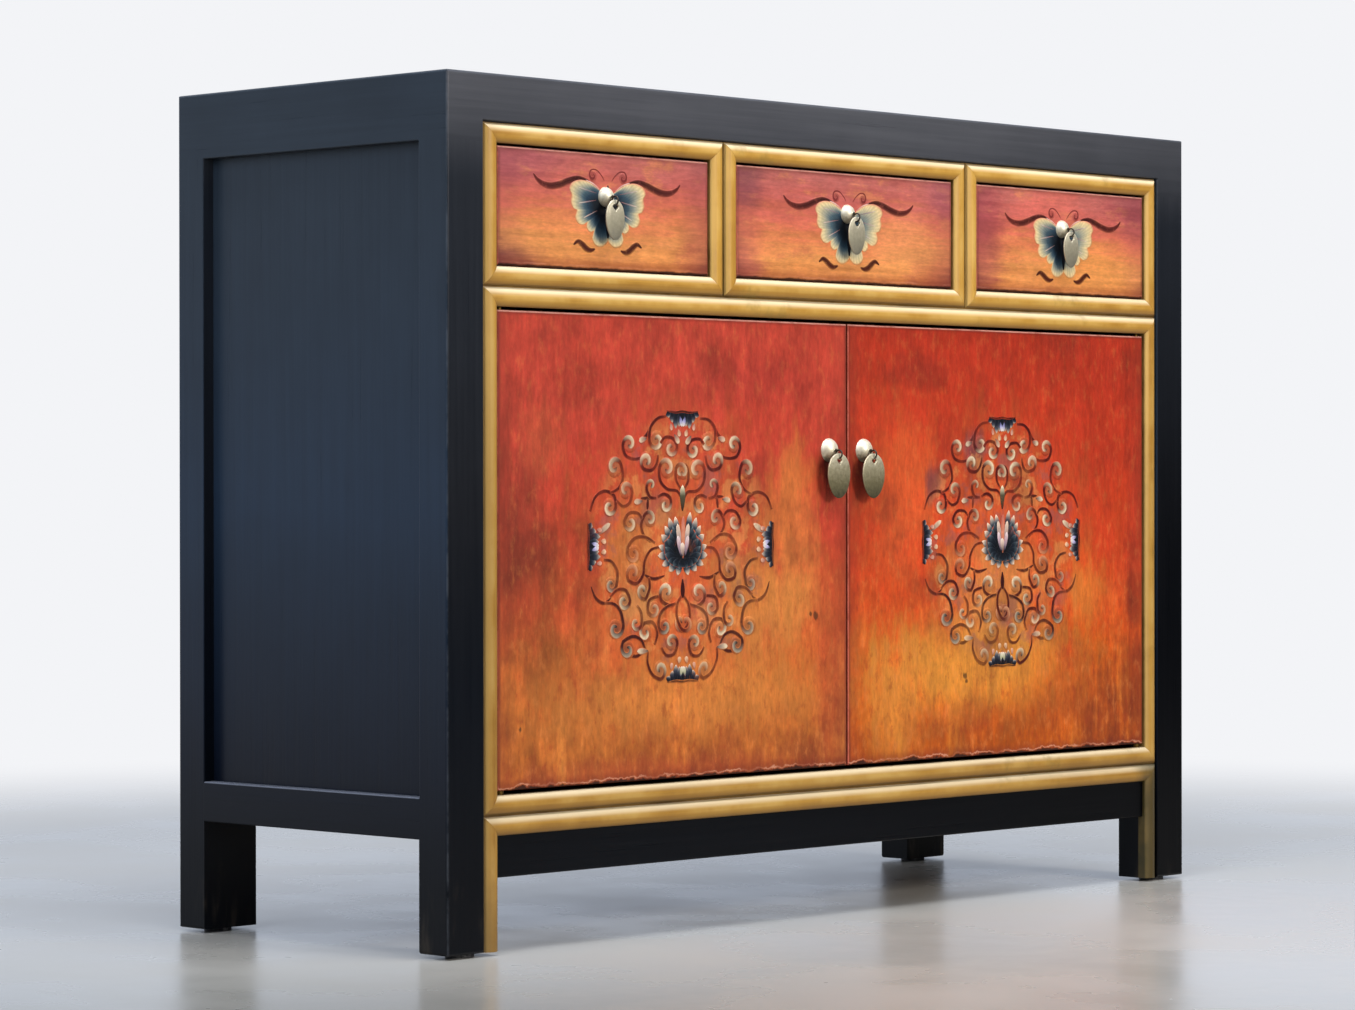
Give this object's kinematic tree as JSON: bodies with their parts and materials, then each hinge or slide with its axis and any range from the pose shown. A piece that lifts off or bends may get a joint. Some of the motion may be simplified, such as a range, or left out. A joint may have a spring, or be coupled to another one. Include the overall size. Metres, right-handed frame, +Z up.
{
  "type": "credenza",
  "caption": "Low painted cabinet with drawers over a pair of pivot-hung doors, gold beads and drop pulls.",
  "frame": {"origin": "on the floor, under the middle of the whole piece with its pulls", "axes": "+X to the right as one faces the front, +Y towards the back, +Z up"},
  "size_m": [1.16, 0.4151, 0.85],
  "materials": {
    "frame_paint": "dark bluish charcoal paint, satin, worn at the edges",
    "bead_gilt": "ochre gold paint, satin, with olive and brown shade and cream wear",
    "door_paint": "aged red paint fading to orange, with a painted medallion",
    "drawer_paint": "aged pinkish red paint fading to orange, with a painted butterfly",
    "raw_wood": "planed softwood, oiled",
    "inner_board": "plain board, lightly stained",
    "pewter": "antique nickel, rubbed",
    "brass": "dull brass",
    "glide": "pale grey moulded glide"
  },
  "bodies": {
    "case": {"post_front_left": "frame_paint", "post_front_right": "frame_paint", "post_back_left": "frame_paint", "post_back_right": "frame_paint", "top_rail_front": "frame_paint", "top_rail_back": "frame_paint", "top_rail_left": "frame_paint", "top_rail_right": "frame_paint", "top_panel": "frame_paint", "side_panel_left": "frame_paint", "side_panel_right": "frame_paint", "side_rail_left": "frame_paint", "side_rail_right": "frame_paint", "middle_rail_front": "frame_paint", "middle_rail_back": "raw_wood", "bottom_rail_front": "frame_paint", "bottom_rail_back": "frame_paint", "drawer_stiles": "frame_paint", "drawer_runners": "raw_wood", "back_panel": "inner_board", "floor_panel": "inner_board", "shelf": "inner_board", "shelf_cleats": "raw_wood", "apron": "frame_paint", "bead_drawer_left": "bead_gilt", "bead_drawer_middle": "bead_gilt", "bead_drawer_right": "bead_gilt", "bead_doors": "bead_gilt", "bead_apron": "bead_gilt", "pivot_sockets": "brass", "door_catches": "brass", "foot_glides": "glide"},
    "door_left": {"door_left": "door_paint", "door_battens_left": "raw_wood", "door_pivots_left": "brass", "door_pull_left": "pewter"},
    "drop_door_left": {"door_drop_left": "pewter"},
    "door_right": {"door_right": "door_paint", "door_battens_right": "raw_wood", "door_pivots_right": "brass", "door_pull_right": "pewter"},
    "drop_door_right": {"door_drop_right": "pewter"},
    "drawer_left": {"drawer_left_front": "drawer_paint", "drawer_left_sides": "raw_wood", "drawer_left_back": "raw_wood", "drawer_left_bottom": "inner_board", "drawer_left_pull": "pewter"},
    "drop_drawer_left": {"drawer_left_drop": "pewter"},
    "drawer_middle": {"drawer_middle_front": "drawer_paint", "drawer_middle_sides": "raw_wood", "drawer_middle_back": "raw_wood", "drawer_middle_bottom": "inner_board", "drawer_middle_pull": "pewter"},
    "drop_drawer_middle": {"drawer_middle_drop": "pewter"},
    "drawer_right": {"drawer_right_front": "drawer_paint", "drawer_right_sides": "raw_wood", "drawer_right_back": "raw_wood", "drawer_right_bottom": "inner_board", "drawer_right_pull": "pewter"},
    "drop_drawer_right": {"drawer_right_drop": "pewter"}
  },
  "joints": [
    {"name": "door_left_swing", "type": "hinge", "parent": "case", "child": "door_left", "pos_m": [-0.503, -0.18295, 0.39], "axis": [0, 0, -1], "range_deg": [0, 100]},
    {"name": "drop_door_left_swing", "type": "hinge", "parent": "door_left", "child": "drop_door_left", "pos_m": [-0.029, -0.20245, 0.48494], "axis": [-1, 0, 0], "range_deg": [-15, 100]},
    {"name": "door_right_swing", "type": "hinge", "parent": "case", "child": "door_right", "pos_m": [0.503, -0.18295, 0.39], "axis": [0, 0, 1], "range_deg": [0, 100]},
    {"name": "drop_door_right_swing", "type": "hinge", "parent": "door_right", "child": "drop_door_right", "pos_m": [0.026, -0.20245, 0.48494], "axis": [-1, 0, 0], "range_deg": [-15, 100]},
    {"name": "drawer_left_slide", "type": "slide", "parent": "case", "child": "drawer_left", "axis": [0, -1, 0], "range_m": [0, 0.25]},
    {"name": "drop_drawer_left_swing", "type": "hinge", "parent": "drawer_left", "child": "drop_drawer_left", "pos_m": [-0.3615, -0.20195, 0.73369], "axis": [-1, 0, 0], "range_deg": [-18, 100]},
    {"name": "drawer_middle_slide", "type": "slide", "parent": "case", "child": "drawer_middle", "axis": [0, -1, 0], "range_m": [0, 0.25]},
    {"name": "drop_drawer_middle_swing", "type": "hinge", "parent": "drawer_middle", "child": "drop_drawer_middle", "pos_m": [0, -0.20195, 0.73369], "axis": [-1, 0, 0], "range_deg": [-18, 100]},
    {"name": "drawer_right_slide", "type": "slide", "parent": "case", "child": "drawer_right", "axis": [0, -1, 0], "range_m": [0, 0.25]},
    {"name": "drop_drawer_right_swing", "type": "hinge", "parent": "drawer_right", "child": "drop_drawer_right", "pos_m": [0.3615, -0.20195, 0.73369], "axis": [-1, 0, 0], "range_deg": [-18, 100]}
  ]
}
